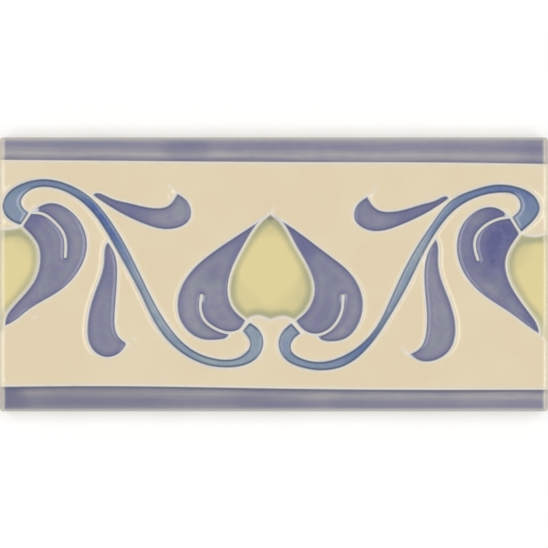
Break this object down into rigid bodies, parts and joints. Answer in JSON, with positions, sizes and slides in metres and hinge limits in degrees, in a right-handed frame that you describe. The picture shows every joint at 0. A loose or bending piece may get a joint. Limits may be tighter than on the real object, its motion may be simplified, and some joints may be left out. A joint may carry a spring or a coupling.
{
  "type": "border tile",
  "caption": "Flat rectangular glazed wall tile with a raised tube-line ornament of buds, petals, stems and leaves between two plain rails, and a keyed back for adhesive.",
  "frame": {"origin": "middle of the tile's back face, which it lies on", "axes": "+X along the tile's length, +Y towards the top of the ornament, +Z out of the glazed face"},
  "size_m": [0.152, 0.076, 0.0086],
  "materials": {
    "glazed_tile": "gloss glaze on a fired white body"
  },
  "bodies": {
    "root": {"border_tile": "glazed_tile"}
  },
  "joints": []
}
